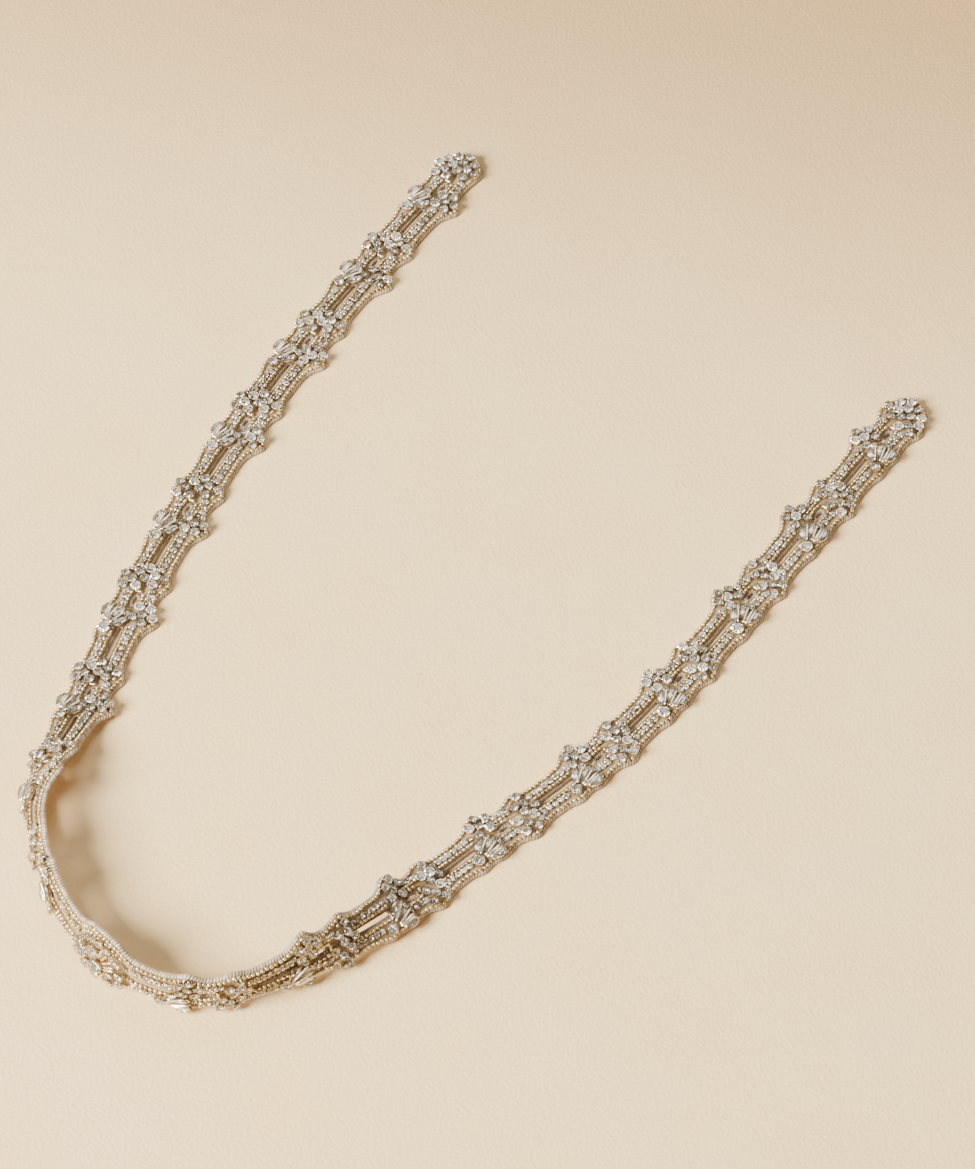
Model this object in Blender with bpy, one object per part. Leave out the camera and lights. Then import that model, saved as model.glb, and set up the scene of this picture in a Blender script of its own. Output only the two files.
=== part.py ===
"""Bridal sash laid in a U: a narrow cutwork strip with crystal flowers sewn along it.

The strip is described flat, in its own three directions, and is then laid along a route:
  s  along the strip, 0 at its middle, below 0 on the left arm and above 0 on the right arm
  v  across the strip, above 0 towards the inside of the U
  h  above the strip's underside, towards its crystal face
Both arms carry the same repeat, mirrored about the middle. Inside a repeat, u runs from its
small opening towards the middle. Lengths are metres, +Z is up, and the floor is z = 0.
"""
import math

import bmesh
import bpy
import numpy as np

# The repeat, and the strip's whole length
PITCH = 0.050
REPEATS = 9
TIP_RUN = 0.0222
HALF_LENGTH = REPEATS * PITCH + TIP_RUN
MIDDLE_RUN = PITCH - 0.0325

# The strip's cross-section: two beaded rails with a gap between them
RAIL_REACH = 0.0084
RAIL_SLOPE = 0.0016
EDGE_HEIGHT = 0.0010
RAIL_HEIGHT = 0.0020
TIP_ROUND = 0.0075

# What is sewn on the rails
SEAM_GAP = 0.0003
SEAT = RAIL_HEIGHT + SEAM_GAP
RIM_HEIGHT = 0.0033
STONE_TOP = 0.0046
STONE_VALLEY = 0.0037
FAN_TOP = 0.0058

# How the strip stands up in the bend: it leans in a little on the left, and out a little on the right
UPRIGHT_LEFT = math.radians(83.0)
UPRIGHT_RIGHT = math.radians(93.0)
LEAN_CHANGES = (-0.005, 0.035)
LIFT_LEFT = (-0.158, -0.042)
LIFT_RIGHT = (0.182, 0.059)
STANDING_REACH = 0.0116

# The openwork eases together in the bend, so a repeat is shorter there
EASE = 0.085
EASE_FADES = (0.150, 0.185)

# Where the laid strip runs on the floor, with its middle at the row "middle". Columns: place, x, y
ROUTE = (
    ("left tip", -0.0108, 0.2208),
    ("left upper", -0.0730, 0.1255),
    ("left half way", -0.1190, 0.0380),
    ("left lower", -0.1470, -0.0320),
    ("left turn", -0.1615, -0.0755),
    ("left side", -0.1705, -0.1095),
    ("left corner", -0.1640, -0.1490),
    ("middle", -0.1446, -0.1827),
    ("right corner", -0.1005, -0.2010),
    ("right side", -0.0760, -0.1910),
    ("right turn", -0.0490, -0.1725),
    ("right lower", -0.0160, -0.1410),
    ("right half way", 0.0435, -0.0860),
    ("right upper", 0.1040, -0.0065),
    ("right tip", 0.1695, 0.0870),
)
# The part's origin on the floor, seen from the route's own: the middle of the laid sash's box
BOX_MIDDLE = (-0.0007, 0.0115)
ROUTE_RUN_ON = 0.030
ROUTE_SAMPLES = 1800

# Where the outline swells round the flowers, on side 1 inside and -1 outside the U
# Columns: flower, side, u, extra reach, width towards the tip, width towards the middle
SWELLS = (
    ("cluster, inner lobe", 1, -0.0108, 0.0024, 0.0046, 0.0046),
    ("rosette", 1, 0.0075, 0.0046, 0.0042, 0.0060),
    ("cluster, outer lobe", -1, -0.0082, 0.0026, 0.0050, 0.0050),
    ("fan", -1, 0.0080, 0.0015, 0.0050, 0.0050),
    ("fan stone", -1, 0.0185, 0.0015, 0.0042, 0.0042),
)
MIDDLE_SWELL = {1: 0.0046, -1: 0.0030}
MIDDLE_SWELL_RUN = 0.0119

# The first inner lobe on the left arm is smaller than the others and sits nearer the tip
LEFT_TIP_LOBE = {"u": -0.0140, "extra": 0.0010}

# Beside the middle the inner scallops are drawn in: by this share of their reach, over this run
DRAWN_IN = 0.70
DRAWN_RUN = 0.060
ROSETTE_DRAWN_IN = 0.0016

# The middle motif was sewn on this far to the right of the strip's middle
MIDDLE_CENTRE = (0.0036, 0.0008)

# Stations of one repeat. Columns: u, half of the gap between the rails, cut through from here inwards
STATIONS = (
    (-0.0175, 0.0008, False),
    (-0.0140, 0.0010, False),
    (-0.0105, 0.0010, False),
    (-0.0070, 0.0010, False),
    (-0.0032, 0.0008, True),
    (-0.0011, 0.0017, True),
    (0.0011, 0.0017, True),
    (0.0032, 0.0008, False),
    (0.0055, 0.0010, False),
    (0.0080, 0.0010, False),
    (0.0110, 0.0010, False),
    (0.0140, 0.0008, True),
    (0.0185, 0.0012, True),
    (0.0250, 0.0012, True),
)
TIP_STATIONS = (0.0003, 0.0010, 0.0019, 0.0033)
MIDDLE_STATIONS = (MIDDLE_RUN, 0.0130, 0.0085, 0.0040)
MIDDLE_GAP = 0.0010
TIP_GAP = 0.0003

# Every flower is a low dome seen from one point of it. Its rays go over a stone or petal, or over
# the dip beside one. Columns: direction in degrees from u, reach of the rim, height of the crest

# The crystal cluster across the strip: eight round stones about two
CLUSTER_CENTRE = (-0.0102, -0.0005)
CLUSTER_RAYS = (
    (105, 0.0098, 0.0046),
    (86, 0.0074, 0.0038),
    (67, 0.0068, 0.0046),
    (26, 0.0054, 0.0037),
    (-16, 0.0070, 0.0046),
    (-34, 0.0068, 0.0037),
    (-51, 0.0102, 0.0046),
    (-70, 0.0080, 0.0038),
    (-90, 0.0094, 0.0046),
    (-116, 0.0064, 0.0037),
    (-140, 0.0056, 0.0046),
    (-167, 0.0051, 0.0037),
    (169, 0.0066, 0.0046),
    (153, 0.0068, 0.0038),
    (138, 0.0092, 0.0045),
    (121, 0.0076, 0.0037),
)

# The petals of the rosette and of the middle motif: how deep their notches are, as a share of the
# reach, and the power of the cosine that keeps the petals round and the notches sharp
PETAL_POWER = 0.6
SAMPLES_PER_PETAL = 4

# The rosette on the inner side: five round stones about one
ROSETTE_CENTRE = (0.0072, 0.0064)
ROSETTE_REACH = 0.0059
ROSETTE_PETALS = 5
ROSETTE_FIRST_PETAL = 90.0
ROSETTE_NOTCH = 0.20

# The fan flower on the outer side, seen from its large base stone
FAN_CENTRE = (0.0184, -0.0058)
FAN_RAYS = (
    (137, 0.0096, 0.0052),
    (149, 0.0086, 0.0038),
    (160, 0.0120, 0.0056),
    (170, 0.0108, 0.0040),
    (180, 0.0122, 0.0050),
    (188, 0.0112, 0.0038),
    (196, 0.0132, 0.0048),
    (208, 0.0046, 0.0036),
    (240, 0.0027, 0.0044),
    (280, 0.0026, 0.0046),
    (320, 0.0026, 0.0046),
    (360, 0.0026, 0.0046),
    (400, 0.0026, 0.0046),
    (440, 0.0026, 0.0046),
    (480, 0.0034, 0.0042),
)
CREST_SHARE = 0.66

# A flower that reaches further than this has a ring of points under it too, to follow the bend
LONG_REACH = 0.0100

# The middle motif: an oval of large stones, one in the centre with a dip round it, then the petals
MIDDLE_HALF = (0.0142, 0.0098)
MIDDLE_PETALS = 8
MIDDLE_NOTCH = 0.14
MIDDLE_TOP = 0.0080
MIDDLE_PETAL_TOP = 0.0066
MIDDLE_STONE_SHARE = 0.34
MIDDLE_DIP_SHARE = 0.44
MIDDLE_CREST_SHARE = 0.70


def smooth_step(t):
    """0 below t = 0, 1 above t = 1, and 3t^2 - 2t^3 between."""
    t = np.clip(t, 0.0, 1.0)
    return t * t * (3.0 - 2.0 * t)


def natural_spline(knots, values, t):
    """Cubic curve through the values at the knots, with no bend at its two ends.

    Its second derivatives solve the usual tridiagonal system, and past the ends it runs on straight.
    """
    knots = np.asarray(knots, float)
    values = np.asarray(values, float)
    count = len(knots)
    gap = np.diff(knots)
    slope = np.diff(values, axis=0) / gap[:, None]
    system = np.eye(count)
    right = np.zeros_like(values)
    for i in range(1, count - 1):
        system[i, i - 1:i + 2] = (gap[i - 1], 2.0 * (gap[i - 1] + gap[i]), gap[i])
        right[i] = 6.0 * (slope[i] - slope[i - 1])
    bend = np.linalg.solve(system, right)
    inside = np.clip(t, knots[0], knots[-1])
    i = np.clip(np.searchsorted(knots, inside) - 1, 0, count - 2)
    a = ((knots[i + 1] - inside) / gap[i])[:, None]
    b = 1.0 - a
    square = (gap[i] ** 2 / 6.0)[:, None]
    curve = a * values[i] + b * values[i + 1]
    curve += ((a ** 3 - a) * bend[i] + (b ** 3 - b) * bend[i + 1]) * square
    first = slope[0] - gap[0] * bend[1] / 6.0
    last = slope[-1] + gap[-1] * bend[-2] / 6.0
    before = np.minimum(t - knots[0], 0.0)[:, None]
    after = np.maximum(t - knots[-1], 0.0)[:, None]
    return curve + before * first + after * last


def roll_at(s):
    """How far the strip leans over at s: flat on both arms, nearly upright between the two lifts."""
    left = smooth_step((s - LIFT_LEFT[0]) / (LIFT_LEFT[1] - LIFT_LEFT[0]))
    right = smooth_step((s - LIFT_RIGHT[0]) / (LIFT_RIGHT[1] - LIFT_RIGHT[0]))
    change = smooth_step((s - LEAN_CHANGES[0]) / (LEAN_CHANGES[1] - LEAN_CHANGES[0]))
    return (UPRIGHT_LEFT + (UPRIGHT_RIGHT - UPRIGHT_LEFT) * change) * left * right


def unit(vectors):
    """Each row made one long."""
    return vectors / np.linalg.norm(vectors, axis=1)[:, None]


def lay_route():
    """The laid strip's centreline: s, its points, and the directions along, across and up from it.

    The centreline rises with the roll, so the strip's outer edge stays on the floor, and s is its
    length with the ease of the bend taken out.
    """
    plan = np.array([row[1:] for row in ROUTE]) - BOX_MIDDLE
    knots = np.concatenate([[0.0], np.cumsum(np.linalg.norm(np.diff(plan, axis=0), axis=1))])
    middle = knots[[row[0] for row in ROUTE].index("middle")]
    t = np.linspace(-ROUTE_RUN_ON, knots[-1] + ROUTE_RUN_ON, ROUTE_SAMPLES)
    flat = natural_spline(knots, plan, t)
    s = t - middle
    for _ in range(4):
        roll = roll_at(s)
        points = np.column_stack([flat, STANDING_REACH * np.sin(roll)])
        step = np.linalg.norm(np.diff(points, axis=0), axis=1)
        eased = 1.0 - smooth_step((np.abs(s) - EASE_FADES[0]) / (EASE_FADES[1] - EASE_FADES[0]))
        share = 1.0 - EASE * (eased[1:] + eased[:-1]) / 2.0
        run = np.concatenate([[0.0], np.cumsum(step / share)])
        s = run - np.interp(middle, t, run)
    along = unit(np.gradient(points, axis=0))
    level = unit(np.cross((0.0, 0.0, 1.0), along))
    rise = np.cross(along, level)
    across = np.cos(roll)[:, None] * level + np.sin(roll)[:, None] * rise
    return s, points, along, across, np.cross(along, across)


ROUTE_S, ROUTE_POINTS, ALONG, ACROSS, OUTWARD = lay_route()


def on_route(table, s):
    """One of the route's tables read at s."""
    return np.stack([np.interp(s, ROUTE_S, table[:, axis]) for axis in range(3)], axis=-1)


def laid(s, v, h):
    """World points of the strip's own coordinates: centreline + v across + h outward."""
    s, v, h = np.broadcast_arrays(np.asarray(s, float), v, h)
    sideways = on_route(ACROSS, s) * v[..., None]
    return on_route(ROUTE_POINTS, s) + sideways + on_route(OUTWARD, s) * h[..., None]


def strip_place(arm, index, u):
    """s of a point at u in a repeat; index 0 is at the tip, and arm is -1 left or 1 right."""
    return arm * ((REPEATS - index) * PITCH - u)


def half_width(s, side):
    """How far the outline reaches on one side: the rail, the swells round the flowers, the round tip."""
    away = np.abs(s)
    index = np.clip(np.round((REPEATS * PITCH - away) / PITCH), 0, REPEATS - 1)
    reach = np.full_like(away, RAIL_REACH)
    drawn = 1.0 - DRAWN_IN * (side > 0) * np.exp(-(s / DRAWN_RUN) ** 4)
    for neighbour in (index - 1, index, index + 1):
        inside = (neighbour >= 0) & (neighbour < REPEATS)
        u = (REPEATS - neighbour) * PITCH - away
        for flower, swell_side, centre, extra, tipward, inward in SWELLS:
            if swell_side != side:
                continue
            if flower == "cluster, inner lobe":
                left_tip = (neighbour == 0) & (s < 0.0)
                centre = np.where(left_tip, LEFT_TIP_LOBE["u"], centre)
                extra = np.where(left_tip, LEFT_TIP_LOBE["extra"], extra)
            width = np.where(u < centre, tipward, inward)
            reach += inside * drawn * extra * np.exp(-((u - centre) / width) ** 2)
    reach += MIDDLE_SWELL[side] * np.exp(-((s - MIDDLE_CENTRE[0]) / MIDDLE_SWELL_RUN) ** 4)
    from_tip = np.clip((HALF_LENGTH - away) / TIP_ROUND, 0.0, 1.0)
    return reach * np.sqrt(1.0 - (1.0 - from_tip) ** 2)


def add_solid(name, points, faces, material):
    """One closed object from points and faces, with every face pointing out."""
    mesh = bpy.data.meshes.new(name)
    mesh.from_pydata([tuple(p) for p in points], [], faces)
    work = bmesh.new()
    work.from_mesh(mesh)
    bmesh.ops.recalc_face_normals(work, faces=work.faces)
    work.to_mesh(mesh)
    work.free()
    mesh.materials.append(material)
    solid = bpy.data.objects.new(name, mesh)
    bpy.context.scene.collection.objects.link(solid)
    return solid


def plain_material(name, colour, roughness, metallic=0.0):
    """A Principled material of one colour."""
    material = bpy.data.materials.new(name)
    material.use_nodes = True
    shader = material.node_tree.nodes["Principled BSDF"]
    shader.inputs["Base Color"].default_value = (*colour, 1.0)
    shader.inputs["Roughness"].default_value = roughness
    shader.inputs["Metallic"].default_value = metallic
    material.diffuse_color = (*colour, 1.0)
    return material


def half_stations():
    """Stations from a tip to the middle: distance from the middle, half gap, and cut towards the middle."""
    rows = [(HALF_LENGTH - run, TIP_GAP, False) for run in TIP_STATIONS]
    for index in range(REPEATS):
        for u, half_gap, cut in STATIONS:
            rows.append(((REPEATS - index) * PITCH - u, half_gap, cut))
    rows += [(away, MIDDLE_GAP, False) for away in MIDDLE_STATIONS]
    return rows


def strip_rows():
    """The whole strip's stations from the left tip to the right, with cut set on the stretch that follows."""
    half = half_stations()
    rows = [(-away, half_gap, cut) for away, half_gap, cut in half]
    rows.append((0.0, MIDDLE_GAP, False))
    cuts = [False] + [cut for _, _, cut in half]
    for i in range(len(half) - 1, -1, -1):
        cut = cuts[i]
        rows.append((half[i][0], half[i][1], cut))
    return rows


def make_backing(material):
    """The strip: a cloth wall with both rails raised in its face, plain behind, its gaps cut through.

    A station has four face points on each rail, at its edge, its two shoulders and the gap, and four
    points behind. The stretch between two stations joins them with quads, and a cut stretch has
    none between the rails but two walls down into the gap.
    """
    rows = strip_rows()
    s = np.array([row[0] for row in rows])
    gap = np.array([row[1] for row in rows])
    cut = [row[2] for row in rows]
    inner = half_width(s, 1)
    outer = half_width(s, -1)
    shoulder = np.minimum(RAIL_SLOPE, 0.3 * np.minimum(inner, outer))
    across = (
        (-outer, EDGE_HEIGHT),
        (-outer + shoulder, RAIL_HEIGHT),
        (-gap - shoulder, RAIL_HEIGHT),
        (-gap, EDGE_HEIGHT),
        (gap, EDGE_HEIGHT),
        (gap + shoulder, RAIL_HEIGHT),
        (inner - shoulder, RAIL_HEIGHT),
        (inner, EDGE_HEIGHT),
        (inner, 0.0),
        (gap, 0.0),
        (-gap, 0.0),
        (-outer, 0.0),
    )
    grid = np.stack([laid(s, v, np.full_like(s, h)) for v, h in across], axis=1)
    count = len(across)
    left_gap, right_gap, right_under, left_under = 3, 4, 9, 10
    faces = [tuple(range(count)), tuple((len(rows) - 1) * count + c for c in range(count))]
    for i in range(len(rows) - 1):
        here, there = i * count, (i + 1) * count
        for c in range(count):
            d = (c + 1) % count
            if cut[i] and c in (left_gap, right_under):
                continue
            faces.append((here + c, here + d, there + d, there + c))
        if cut[i]:
            faces.append((here + left_gap, here + left_under, there + left_under, there + left_gap))
            faces.append((here + right_gap, here + right_under, there + right_under, there + right_gap))
        if i and cut[i] != cut[i - 1]:
            faces.append(tuple(here + c for c in (left_gap, right_gap, right_under, left_under)))
    return add_solid("backing_strip", grid.reshape(-1, 3), faces, material)


def dome_faces(samples, rings):
    """Faces of a dome: a top centre, rings from it outwards with the last one under, and a low centre."""
    faces = []
    ring = [1 + k * samples for k in range(rings)]
    low = 1 + rings * samples
    for i in range(samples):
        j = (i + 1) % samples
        faces.append((0, ring[0] + i, ring[0] + j))
        for k in range(rings - 1):
            faces.append((ring[k] + i, ring[k + 1] + i, ring[k + 1] + j, ring[k] + j))
        faces.append((low, ring[-1] + j, ring[-1] + i))
    return faces


def rosette_rays():
    """Rays of the rosette, one petal after another."""
    samples = ROSETTE_PETALS * SAMPLES_PER_PETAL
    rays = []
    for i in range(samples):
        turn = 360.0 * i / samples
        lobe = abs(math.cos(math.radians(turn * ROSETTE_PETALS / 2.0))) ** PETAL_POWER
        reach = ROSETTE_REACH * (1.0 - ROSETTE_NOTCH * (1.0 - lobe))
        rays.append((ROSETTE_FIRST_PETAL + turn, reach, STONE_VALLEY + (STONE_TOP - STONE_VALLEY) * lobe))
    return rays


def make_bloom(name, arm, index, centre, rays, top, material):
    """One flower sewn on the rails: its top point, a ring of crests, its rim, and a plain underside."""
    direction, reach, crest = np.array(rays, float).T
    direction = np.radians(direction)
    centre_s = strip_place(arm, index, centre[0])
    points = [laid(centre_s, centre[1], top)[None]]
    rings = [(CREST_SHARE * reach, crest), (reach, RIM_HEIGHT), (reach, SEAT)]
    if reach.max() > LONG_REACH:
        rings.append((CREST_SHARE * reach, SEAT))
    for radius, height in rings:
        u = centre[0] + radius * np.cos(direction)
        v = centre[1] + radius * np.sin(direction)
        points.append(laid(strip_place(arm, index, u), v, height))
    points.append(laid(centre_s, centre[1], SEAT)[None])
    return add_solid(name, np.concatenate(points), dome_faces(len(direction), len(rings)), material)


def make_middle(material):
    """The middle motif: an oval with one large stone in the centre and a ring of stones round it."""
    samples = MIDDLE_PETALS * SAMPLES_PER_PETAL
    angle = np.arange(samples) * 2.0 * math.pi / samples
    lobe = np.abs(np.cos(MIDDLE_PETALS * angle / 2.0)) ** PETAL_POWER
    rim = 1.0 - MIDDLE_NOTCH * (1.0 - lobe)
    rings = (
        (MIDDLE_STONE_SHARE, MIDDLE_TOP),
        (MIDDLE_DIP_SHARE, STONE_TOP),
        (MIDDLE_CREST_SHARE, STONE_TOP + (MIDDLE_PETAL_TOP - STONE_TOP) * lobe),
        (rim, RIM_HEIGHT),
        (rim, SEAT),
    )
    points = [laid(*MIDDLE_CENTRE, MIDDLE_TOP)[None]]
    for share, height in rings:
        s = MIDDLE_CENTRE[0] + MIDDLE_HALF[0] * share * np.cos(angle)
        v = MIDDLE_CENTRE[1] + MIDDLE_HALF[1] * share * np.sin(angle)
        points.append(laid(s, v, height))
    points.append(laid(*MIDDLE_CENTRE, SEAT)[None])
    return add_solid("middle_motif", np.concatenate(points), dome_faces(samples, len(rings)), material)


def clear_scene():
    """An empty scene to build in."""
    for item in list(bpy.data.objects):
        bpy.data.objects.remove(item, do_unlink=True)


clear_scene()
net = plain_material("champagne_net_backing", (0.68, 0.58, 0.43), 0.8)
crystal = plain_material("clear_crystal", (0.86, 0.87, 0.88), 0.08, 0.2)
glass_gold = plain_material("crystal_and_gold_bugles", (0.80, 0.72, 0.55), 0.15, 0.3)

make_backing(net)
for arm, arm_name in ((-1, "left"), (1, "right")):
    for index in range(REPEATS):
        label = f"{arm_name}_{index + 1}"
        make_bloom(f"cluster_{label}", arm, index, CLUSTER_CENTRE, CLUSTER_RAYS, STONE_TOP, crystal)
        drawn_in = ROSETTE_DRAWN_IN if index == REPEATS - 1 else 0.0
        rosette_centre = (ROSETTE_CENTRE[0], ROSETTE_CENTRE[1] - drawn_in)
        make_bloom(f"rosette_{label}", arm, index, rosette_centre, rosette_rays(), STONE_TOP, crystal)
        make_bloom(f"fan_{label}", arm, index, FAN_CENTRE, FAN_RAYS, FAN_TOP, glass_gold)
make_middle(glass_gold)
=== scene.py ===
import math

import bpy
import numpy as np
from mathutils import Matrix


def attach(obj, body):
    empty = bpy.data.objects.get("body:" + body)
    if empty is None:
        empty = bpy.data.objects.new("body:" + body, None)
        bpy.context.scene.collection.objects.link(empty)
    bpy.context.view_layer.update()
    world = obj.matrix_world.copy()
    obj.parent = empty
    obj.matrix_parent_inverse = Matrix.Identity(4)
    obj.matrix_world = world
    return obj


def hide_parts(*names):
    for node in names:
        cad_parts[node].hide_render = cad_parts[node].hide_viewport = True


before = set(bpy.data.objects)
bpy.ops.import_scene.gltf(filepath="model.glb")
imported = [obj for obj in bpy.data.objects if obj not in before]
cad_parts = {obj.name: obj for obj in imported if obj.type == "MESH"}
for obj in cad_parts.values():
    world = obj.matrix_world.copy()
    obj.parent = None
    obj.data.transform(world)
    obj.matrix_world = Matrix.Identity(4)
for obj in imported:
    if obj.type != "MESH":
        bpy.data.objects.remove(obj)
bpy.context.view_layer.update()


# The camera. The photograph was taken from about 2.3 m away with a long lens, looking down at 52
# degrees along +Y, so that both arms of the U keep nearly the same width up to their tips.
VIEW_POINT = (0.0007, -0.0115, 0.0)
VIEW_DISTANCE = 2.282
VIEW_ELEVATION = math.radians(51.65)
LENS_MM = 178.0
LONG_SIDE_MM = 36.0

lens = bpy.data.cameras.new("camera")
lens.lens = LENS_MM
lens.sensor_fit = "VERTICAL"
lens.sensor_height = LONG_SIDE_MM
lens.clip_end = 20.0
camera = bpy.data.objects.new("camera", lens)
bpy.context.scene.collection.objects.link(camera)
camera.location = (
    VIEW_POINT[0],
    VIEW_POINT[1] - VIEW_DISTANCE * math.cos(VIEW_ELEVATION),
    VIEW_POINT[2] + VIEW_DISTANCE * math.sin(VIEW_ELEVATION),
)
camera.rotation_euler = (math.pi / 2.0 - VIEW_ELEVATION, 0.0, 0.0)
bpy.context.scene.camera = camera


# How the sash lies. Both arms lie flat, face up. In the bend the strip stands on its outer edge
# with its face turned out, because a beaded strip is too stiff to bend within its own plane.
# s runs along the strip from its middle, v across it towards the inside, h up from its back.
PITCH = 0.050
REPEATS = 9
TIP_RUN = 0.0222
HALF_LENGTH = REPEATS * PITCH + TIP_RUN
UPRIGHT_LEFT = math.radians(83.0)
UPRIGHT_RIGHT = math.radians(93.0)
LEAN_CHANGES = (-0.005, 0.035)
LIFT_LEFT = (-0.158, -0.042)
LIFT_RIGHT = (0.182, 0.059)
STANDING_REACH = 0.0116
EASE = 0.085
EASE_FADES = (0.150, 0.185)
BOX_MIDDLE = (-0.0007, 0.0115)
ROUTE_RUN_ON = 0.030
ROUTE_SAMPLES = 1800
# The lean follows s and s follows the lean, so the route is worked out this many times over
ROUTE_PASSES = 4

# Columns: place, x, y
ROUTE = (
    ("left tip", -0.0108, 0.2208),
    ("left upper", -0.0730, 0.1255),
    ("left half way", -0.1190, 0.0380),
    ("left lower", -0.1470, -0.0320),
    ("left turn", -0.1615, -0.0755),
    ("left side", -0.1705, -0.1095),
    ("left corner", -0.1640, -0.1490),
    ("middle", -0.1446, -0.1827),
    ("right corner", -0.1005, -0.2010),
    ("right side", -0.0760, -0.1910),
    ("right turn", -0.0490, -0.1725),
    ("right lower", -0.0160, -0.1410),
    ("right half way", 0.0435, -0.0860),
    ("right upper", 0.1040, -0.0065),
    ("right tip", 0.1695, 0.0870),
)


def smooth_step(value, ends):
    """0 before the first end, 1 past the last, and 3t^2 - 2t^3 between, where t runs from 0 to 1."""
    t = np.clip((value - ends[0]) / (ends[1] - ends[0]), 0.0, 1.0)
    return t * t * (3.0 - 2.0 * t)


def natural_spline(knots, values, t):
    """Cubic curve through the values at the knots. It has no bend at its ends and runs on straight."""
    gap = np.diff(knots)
    slope = np.diff(values, axis=0) / gap[:, None]
    count = len(knots)
    inner = np.arange(1, count - 1)
    system = np.eye(count)
    system[inner, inner - 1] = gap[:-1]
    system[inner, inner] = 2.0 * (gap[:-1] + gap[1:])
    system[inner, inner + 1] = gap[1:]
    right = np.zeros_like(values)
    right[1:-1] = 6.0 * np.diff(slope, axis=0)
    bend = np.linalg.solve(system, right)
    inside = np.clip(t, knots[0], knots[-1])
    i = np.clip(np.searchsorted(knots, inside) - 1, 0, count - 2)
    a = ((knots[i + 1] - inside) / gap[i])[:, None]
    b = 1.0 - a
    square = (gap[i] ** 2 / 6.0)[:, None]
    curve = a * values[i] + b * values[i + 1]
    curve += ((a ** 3 - a) * bend[i] + (b ** 3 - b) * bend[i + 1]) * square
    first = slope[0] - gap[0] * bend[1] / 6.0
    last = slope[-1] + gap[-1] * bend[-2] / 6.0
    before = np.minimum(t - knots[0], 0.0)[:, None]
    after = np.maximum(t - knots[-1], 0.0)[:, None]
    return curve + before * first + after * last


def unit(vectors):
    """Each vector made one long."""
    return vectors / np.linalg.norm(vectors, axis=-1)[..., None]


def length_along(points):
    """The length of a line of points up to each of them."""
    return np.concatenate([[0.0], np.cumsum(np.linalg.norm(np.diff(points, axis=0), axis=1))])


def lay_route():
    """The centreline on the floor: s, its points, and the directions along, across and up from the strip.

    It rises with the strip's lean, so the outer edge stays on the floor. s is its length with the
    ease of the bend taken out, because the openwork eases together there.
    """
    plan = np.array([row[1:] for row in ROUTE]) - BOX_MIDDLE
    knots = length_along(plan)
    middle = knots[[row[0] for row in ROUTE].index("middle")]
    t = np.linspace(-ROUTE_RUN_ON, knots[-1] + ROUTE_RUN_ON, ROUTE_SAMPLES)
    flat = natural_spline(knots, plan, t)
    s = t - middle
    for _ in range(ROUTE_PASSES):
        lean = UPRIGHT_LEFT + (UPRIGHT_RIGHT - UPRIGHT_LEFT) * smooth_step(s, LEAN_CHANGES)
        roll = lean * smooth_step(s, LIFT_LEFT) * smooth_step(s, LIFT_RIGHT)
        points = np.column_stack([flat, STANDING_REACH * np.sin(roll)])
        step = np.linalg.norm(np.diff(points, axis=0), axis=1)
        eased = 1.0 - smooth_step(np.abs(s), EASE_FADES)
        run = np.concatenate([[0.0], np.cumsum(step / (1.0 - EASE * (eased[1:] + eased[:-1]) / 2.0))])
        s = run - np.interp(middle, t, run)
    along = unit(np.gradient(points, axis=0))
    level = unit(np.cross((0.0, 0.0, 1.0), along))
    rise = np.cross(along, level)
    across = np.cos(roll)[:, None] * level + np.sin(roll)[:, None] * rise
    return s, points, along, across, np.cross(along, across)


ROUTE_S, ROUTE_POINTS, ALONG, ACROSS, OUTWARD = lay_route()


def read_at(at, places, table):
    """A table of points, with one row for each place, read at other places between them."""
    return np.stack([np.interp(at, places, table[:, axis]) for axis in range(3)], axis=-1)


def on_route(table, s):
    """One of the route's tables read at s."""
    return read_at(s, ROUTE_S, table)


def laid(s, v, h):
    """Points of the strip's own coordinates: centreline + v across + h outward."""
    s, v, h = np.broadcast_arrays(np.asarray(s, float), v, h)
    sideways = on_route(ACROSS, s) * v[..., None]
    return on_route(ROUTE_POINTS, s) + sideways + on_route(OUTWARD, s) * h[..., None]


# The surface under the sash: smooth, hand-trowelled plaster in a warm pale beige, matt, with a
# faint unevenness that the slanting light picks out. Its colour is darkened a little away from the window:
# painted shade for the light's falloff.
PLASTER_WARM = "#f1cd94"
PLASTER_PALE = "#f4d59d"
# Painted shade: the plaster's colour away from the window
PLASTER_PAINTED_SHADE = "#c3a06d"
FLOOR_HALF = 6.0
TROWEL_MARK_MM = 60.0
GRAIN_MM = 1.5
SCRATCH_MM = 1.4
# Which way the painted shade on the floor deepens, and between which distances that way
PAINTED_SHADE_DIRECTION = (0.25, 1.0, 0.0)
PAINTED_SHADE_RUN = (0.06, 0.36)
# Scratches are noise turned and drawn out like this, and it shows between these two values alone
SCRATCH_TURN = math.radians(40.0)
SCRATCH_STRETCH = (0.07, 1.0, 1.0)
SCRATCH_BAND = (0.735, 0.80)
# Bump: strength, depth in metres
MARK_BUMP = (0.5, 0.0015)
GRAIN_BUMP = (0.8, 0.00042)
SCRATCH_BUMP = (0.4, 0.0002)


def linear(hex_colour):
    """An sRGB hex colour as a linear colour with alpha."""
    channels = [int(hex_colour[i:i + 2], 16) / 255.0 for i in (1, 3, 5)]
    return (*[c / 12.92 if c <= 0.04045 else ((c + 0.055) / 1.055) ** 2.4 for c in channels], 1.0)


def set_sockets(tree, node, sockets):
    """Fill a node's sockets. Each is (name or number, value or another node's output)."""
    for socket, value in sockets:
        if isinstance(value, bpy.types.NodeSocket):
            tree.links.new(value, node.inputs[socket])
        else:
            node.inputs[socket].default_value = value


def add_node(tree, kind, sockets=(), **settings):
    """One node with its settings and filled sockets."""
    made = tree.nodes.new(kind)
    for key, value in settings.items():
        setattr(made, key, value)
    set_sockets(tree, made, sockets)
    return made


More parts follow.
